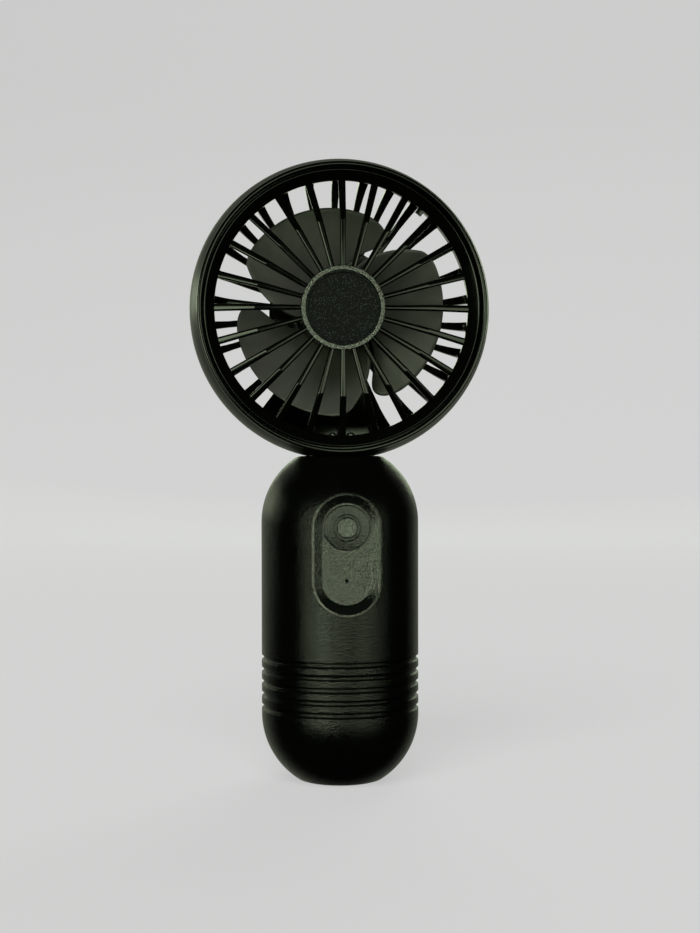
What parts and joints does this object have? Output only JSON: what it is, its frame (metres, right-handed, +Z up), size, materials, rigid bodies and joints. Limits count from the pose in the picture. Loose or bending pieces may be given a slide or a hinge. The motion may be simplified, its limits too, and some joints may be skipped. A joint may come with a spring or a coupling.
{
  "type": "pocket fan",
  "caption": "Hand-held fan: a round caged head with a swept-blade impeller fixed on a pill-shaped battery handle with a sprung power button.",
  "frame": {"origin": "centre of the flat foot of the handle", "axes": "+Z up the handle to the head, -Y the side that blows air and carries the button, +X to the right seen from in front"},
  "size_m": [0.0822, 0.0432, 0.1702],
  "materials": {
    "textured_abs": "black ABS with a fine moulded texture",
    "gloss_abs": "black ABS moulded in a polished tool",
    "satin_abs": "dark satin ABS",
    "panel_abs": "grey-green control panel, finely grained gloss",
    "blade_plastic": "grey satin polypropylene",
    "steel": "zinc-plated steel",
    "bronze": "sintered bronze",
    "windings": "enamelled copper on a laminated core",
    "ferrite": "moulded ferrite",
    "circuit_laminate": "green solder mask on laminate",
    "cell_can": "shrink-wrapped cell",
    "foam": "black foam",
    "led_epoxy": "clear white epoxy",
    "switch_plastic": "black moulded nylon"
  },
  "bodies": {
    "housing": {"handle_front_shell": "textured_abs", "handle_rear_shell": "textured_abs", "neck_post": "textured_abs", "head_housing": "gloss_abs", "front_grille": "gloss_abs", "hub_badge": "satin_abs", "motor_base": "gloss_abs", "control_panel": "panel_abs", "button_bezel": "satin_abs", "switch_body": "switch_plastic", "circuit_board": "circuit_laminate", "charging_board": "circuit_laminate", "motor_board": "circuit_laminate", "indicator_led": "led_epoxy", "charging_port": "steel", "battery_cell": "cell_can", "battery_pad": "foam", "handle_screw_lower_left": "steel", "handle_screw_lower_right": "steel", "handle_screw_upper_left": "steel", "handle_screw_upper_right": "steel", "neck_screw_left": "steel", "neck_screw_right": "steel", "motor_screw_left": "steel", "motor_screw_right": "steel", "bearing_front": "bronze", "bearing_rear": "bronze", "stator_core": "windings"},
    "impeller": {"impeller": "blade_plastic", "magnet_ring": "ferrite", "motor_shaft": "steel", "shaft_clip": "steel"},
    "power_button": {"power_button": "satin_abs"},
    "switch_plunger": {"switch_plunger": "switch_plastic"}
  },
  "joints": [
    {"name": "impeller_spin", "type": "hinge", "parent": "housing", "child": "impeller", "pos_m": [0, 0, 0.12912], "axis": [0, 1, 0], "continuous": true},
    {"name": "button_press", "type": "slide", "parent": "housing", "child": "power_button", "axis": [0, 1, 0], "range_m": [0, 0.0005], "stiffness_N_per_m": 800},
    {"name": "plunger_press", "type": "slide", "parent": "housing", "child": "switch_plunger", "axis": [0, 1, 0], "range_m": [0, 0.0005]}
  ],
  "couplings": [
    {"joint": "plunger_press", "follows": "button_press", "ratio": 1}
  ]
}
